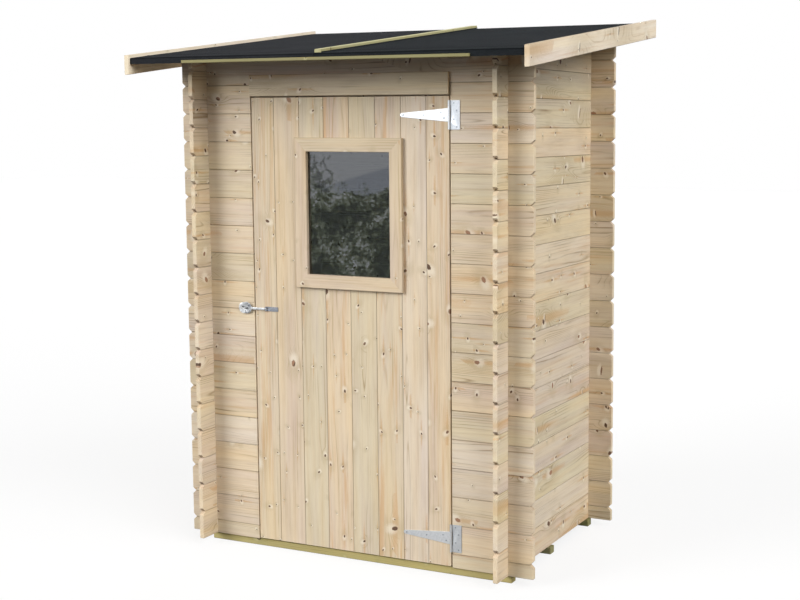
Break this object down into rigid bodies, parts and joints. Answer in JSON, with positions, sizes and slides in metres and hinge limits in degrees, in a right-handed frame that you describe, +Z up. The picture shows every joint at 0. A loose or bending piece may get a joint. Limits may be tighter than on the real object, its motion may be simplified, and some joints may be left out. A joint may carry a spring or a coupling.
{
  "type": "wooden garden shed",
  "caption": "Small pent-roof garden shed of interlocking wall boards on bearers, with a felted roof, a boarded hinged door with a window, and a hasp.",
  "frame": {"origin": "middle of the whole shed's footprint, on the ground", "axes": "+Z up, -Y towards the door side, +X to the right seen from the front"},
  "size_m": [1.734, 1.354, 2.1715],
  "materials": {
    "raw_wood": "planed untreated spruce",
    "door_wood": "planed untreated spruce tongue-and-groove boards",
    "treated_wood": "green pressure-treated softwood",
    "roofing_felt": "anthracite mineral bitumen felt",
    "galvanised_steel": "galvanised sheet",
    "window_glass": "clear pane"
  },
  "bodies": {
    "shed": {"bearer_front": "treated_wood", "bearer_middle": "treated_wood", "bearer_back": "treated_wood", "floor_boards": "raw_wood", "front_wall_left": "raw_wood", "front_wall_right": "raw_wood", "front_wall_over_door": "raw_wood", "back_wall": "raw_wood", "side_wall_left": "raw_wood", "side_wall_right": "raw_wood", "door_post_left": "raw_wood", "door_post_right": "raw_wood", "door_head_batten": "raw_wood", "door_head_board": "raw_wood", "purlin": "raw_wood", "roof_boards_left": "raw_wood", "roof_boards_right": "raw_wood", "roof_felt_left": "roofing_felt", "roof_felt_right": "roofing_felt", "roof_seam_batten": "treated_wood", "eaves_batten_front": "treated_wood", "eaves_batten_back": "treated_wood", "barge_board_left": "raw_wood", "barge_board_right": "raw_wood", "hinge_plate_top": "galvanised_steel", "hinge_plate_bottom": "galvanised_steel", "hasp_staple": "galvanised_steel"},
    "door": {"door_boards_left": "door_wood", "door_boards_right": "door_wood", "door_boards_over_window": "door_wood", "door_boards_under_window": "door_wood", "door_ledge_top": "raw_wood", "door_ledge_middle": "raw_wood", "door_ledge_bottom": "raw_wood", "door_brace": "raw_wood", "window_trim_top": "raw_wood", "window_trim_bottom": "raw_wood", "window_trim_left": "raw_wood", "window_trim_right": "raw_wood", "window_beads": "raw_wood", "window_glass": "window_glass", "hinge_strap_top": "galvanised_steel", "hinge_strap_bottom": "galvanised_steel", "hasp_plate": "galvanised_steel"},
    "hasp": {"hasp": "galvanised_steel"}
  },
  "joints": [
    {"name": "door_swing", "type": "hinge", "parent": "shed", "child": "door", "pos_m": [0.4385, -0.4395, 0.95], "axis": [0, 0, 1], "range_deg": [0, 150]},
    {"name": "hasp_swing", "type": "hinge", "parent": "door", "child": "hasp", "pos_m": [-0.39, -0.4385, 0.988], "axis": [0, 0, 1], "range_deg": [0, 120]}
  ]
}
